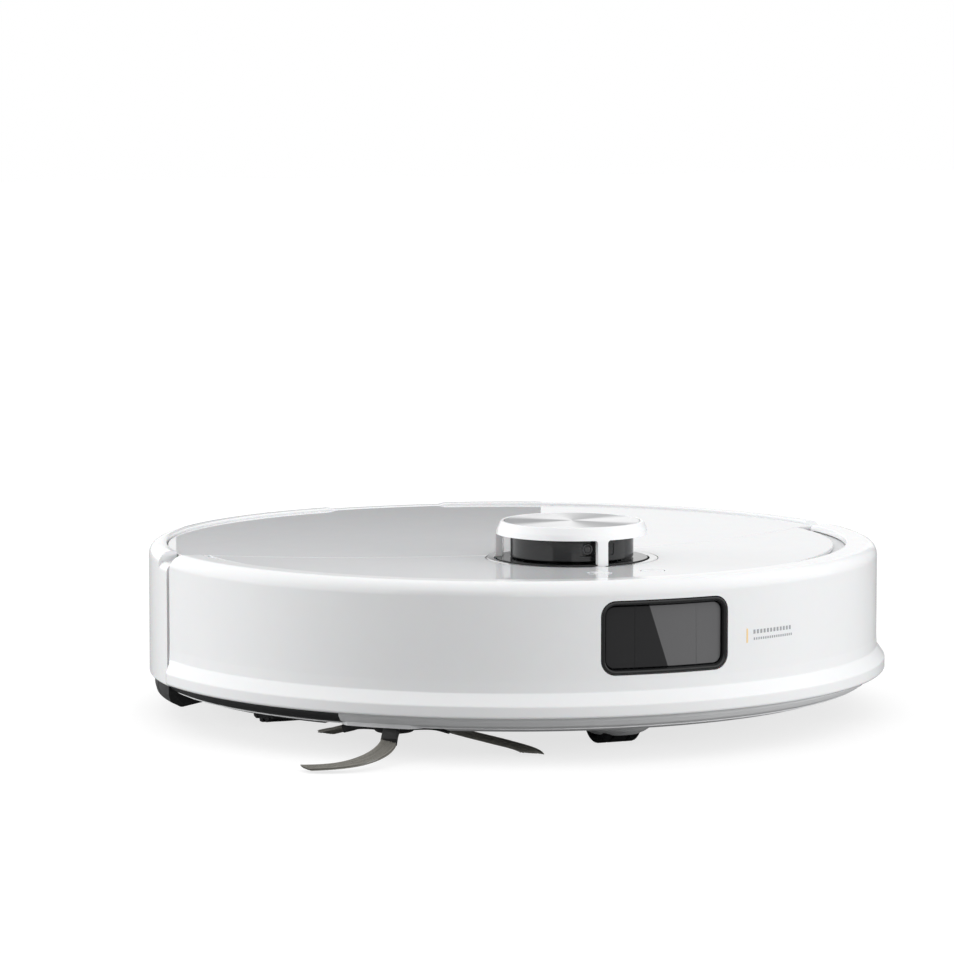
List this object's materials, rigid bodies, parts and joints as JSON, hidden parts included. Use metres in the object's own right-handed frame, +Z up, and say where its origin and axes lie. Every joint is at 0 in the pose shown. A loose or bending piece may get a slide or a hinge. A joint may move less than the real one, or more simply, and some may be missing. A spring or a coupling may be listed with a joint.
{
  "type": "robot vacuum",
  "caption": "Round low robot vacuum with a sprung front bumper, a laser turret, a side brush, a main roller and a rear mop plate.",
  "frame": {"origin": "on the floor, under the middle of the body", "axes": "+Z up, -Y the way the robot drives, +X its left side"},
  "size_m": [0.3528, 0.353, 0.0973],
  "materials": {
    "gloss_white": "polished moulded plastic",
    "pale_plastic": "fine moulded texture",
    "grey_plastic": "fine moulded texture",
    "black_plastic": "fine moulded texture",
    "gloss_black": "polished moulded plastic",
    "smoked_glass": "polished dark glass",
    "brushed_metal": "turned and brushed",
    "steel": "satin",
    "contact_brass": "polished",
    "rubber": "matt",
    "tyre": "matt",
    "bristle": "nylon bundle",
    "bin_plastic": "smoked clear plastic",
    "tank_plastic": "moulded clear plastic",
    "circuit": "solder mask",
    "cloth": "woven microfibre",
    "filter_paper": "pleated"
  },
  "bodies": {
    "chassis": {"chassis_base": "pale_plastic", "chassis_wall": "grey_plastic", "upper_deck": "pale_plastic", "rear_underbody": "black_plastic", "rear_shell": "gloss_white", "front_panel": "gloss_white", "turret_trim": "steel", "turret_base": "gloss_black", "laser_motor": "black_plastic", "laser_belt": "rubber", "sensor_module": "black_plastic", "drop_sensor_front_left": "gloss_black", "drop_sensor_front_right": "gloss_black", "drop_sensor_side_left": "gloss_black", "drop_sensor_side_right": "gloss_black", "charge_contact_left": "contact_brass", "charge_contact_right": "contact_brass", "wheel_well_left": "grey_plastic", "wheel_well_right": "grey_plastic", "caster_housing": "grey_plastic", "side_brush_motor": "black_plastic", "brush_housing": "grey_plastic", "brush_guard": "black_plastic", "brush_gearbox": "black_plastic", "brush_motor": "steel", "fan_housing": "black_plastic", "battery_pack": "black_plastic", "main_board": "circuit", "water_tank": "tank_plastic", "mop_motor": "steel"},
    "bumper": {"bumper_shell": "gloss_white", "window_bezel": "gloss_black", "window_glass": "smoked_glass"},
    "cover": {"top_cover": "gloss_white"},
    "bin": {"dust_bin": "bin_plastic", "bin_filter": "filter_paper", "bin_lid": "pale_plastic"},
    "power_key": {"power_button": "gloss_white"},
    "dock_key": {"dock_button": "gloss_white"},
    "cap": {"turret_cap": "gloss_white", "cap_disc": "brushed_metal"},
    "drum": {"laser_drum": "gloss_black"},
    "pulley": {"laser_pulley": "steel"},
    "roller": {"main_roller": "rubber"},
    "side_brush": {"side_brush_hub": "rubber", "side_brush_bristle_1": "bristle", "side_brush_bristle_2": "bristle", "side_brush_bristle_3": "bristle"},
    "caster_swivel": {"caster_fork": "black_plastic"},
    "caster_roll": {"caster_wheel": "rubber"},
    "left_arm": {"suspension_arm_left": "black_plastic"},
    "left_wheel": {"wheel_rim_left": "grey_plastic", "tyre_left": "tyre"},
    "right_arm": {"suspension_arm_right": "black_plastic"},
    "right_wheel": {"wheel_rim_right": "grey_plastic", "tyre_right": "tyre"},
    "mop": {"mop_bracket": "black_plastic", "mop_pad": "cloth"},
    "impeller": {"fan_impeller": "grey_plastic"}
  },
  "joints": [
    {"name": "bumper_press", "type": "slide", "parent": "chassis", "child": "bumper", "axis": [0, 1, 0], "range_m": [0, 0.003], "stiffness_N_per_m": 800, "springref_m": -0.002},
    {"name": "cover_lift", "type": "slide", "parent": "chassis", "child": "cover", "axis": [0, 0, 1], "range_m": [0, 0.11]},
    {"name": "bin_lift", "type": "slide", "parent": "chassis", "child": "bin", "axis": [0, 0, 1], "range_m": [0, 0.055]},
    {"name": "power_press", "type": "slide", "parent": "chassis", "child": "power_key", "axis": [0, 0, -1], "range_m": [0, 0.0008], "stiffness_N_per_m": 400, "springref_m": -0.0005},
    {"name": "dock_press", "type": "slide", "parent": "chassis", "child": "dock_key", "axis": [0, 0, -1], "range_m": [0, 0.0008], "stiffness_N_per_m": 400, "springref_m": -0.0005},
    {"name": "cap_press", "type": "slide", "parent": "chassis", "child": "cap", "axis": [0, 0, -1], "range_m": [0, 0.0015], "stiffness_N_per_m": 600, "springref_m": -0.001},
    {"name": "drum_spin", "type": "hinge", "parent": "chassis", "child": "drum", "pos_m": [0, -0.069, 0.08], "axis": [0, 0, 1], "continuous": true},
    {"name": "pulley_spin", "type": "hinge", "parent": "chassis", "child": "pulley", "pos_m": [0.044, -0.044, 0.068], "axis": [0, 0, 1], "continuous": true},
    {"name": "roller_spin", "type": "hinge", "parent": "chassis", "child": "roller", "pos_m": [0, -0.03, 0.022], "axis": [1, 0, 0], "continuous": true},
    {"name": "side_brush_spin", "type": "hinge", "parent": "chassis", "child": "side_brush", "pos_m": [-0.103, -0.107, 0.0125], "axis": [0, 0, 1], "continuous": true},
    {"name": "caster_turn", "type": "hinge", "parent": "chassis", "child": "caster_swivel", "pos_m": [0, -0.118, 0.028], "axis": [0, 0, 1], "continuous": true},
    {"name": "caster_wheel_spin", "type": "hinge", "parent": "caster_swivel", "child": "caster_roll", "pos_m": [0, -0.115, 0.0125], "axis": [1, 0, 0], "continuous": true},
    {"name": "left_arm_drop", "type": "hinge", "parent": "chassis", "child": "left_arm", "pos_m": [0.116, 0.038, 0.04], "axis": [1, 0, 0], "range_deg": [0, 25], "stiffness_Nm_per_rad": 0.25, "springref_deg": 34.38},
    {"name": "right_arm_drop", "type": "hinge", "parent": "chassis", "child": "right_arm", "pos_m": [-0.116, 0.038, 0.04], "axis": [1, 0, 0], "range_deg": [0, 25], "stiffness_Nm_per_rad": 0.25, "springref_deg": 34.38},
    {"name": "left_wheel_spin", "type": "hinge", "parent": "left_arm", "child": "left_wheel", "pos_m": [0.116, 0, 0.035], "axis": [1, 0, 0], "continuous": true},
    {"name": "right_wheel_spin", "type": "hinge", "parent": "right_arm", "child": "right_wheel", "pos_m": [-0.116, 0, 0.035], "axis": [1, 0, 0], "continuous": true},
    {"name": "mop_drop", "type": "slide", "parent": "chassis", "child": "mop", "axis": [0, 0, -1], "range_m": [0, 0.0033]},
    {"name": "impeller_spin", "type": "hinge", "parent": "chassis", "child": "impeller", "pos_m": [0.11, 0.07, 0.05], "axis": [0, 0, 1], "continuous": true}
  ],
  "couplings": [
    {"joint": "bin_lift", "follows": "cover_lift", "ratio": 0.5},
    {"joint": "pulley_spin", "follows": "drum_spin", "ratio": 4}
  ]
}
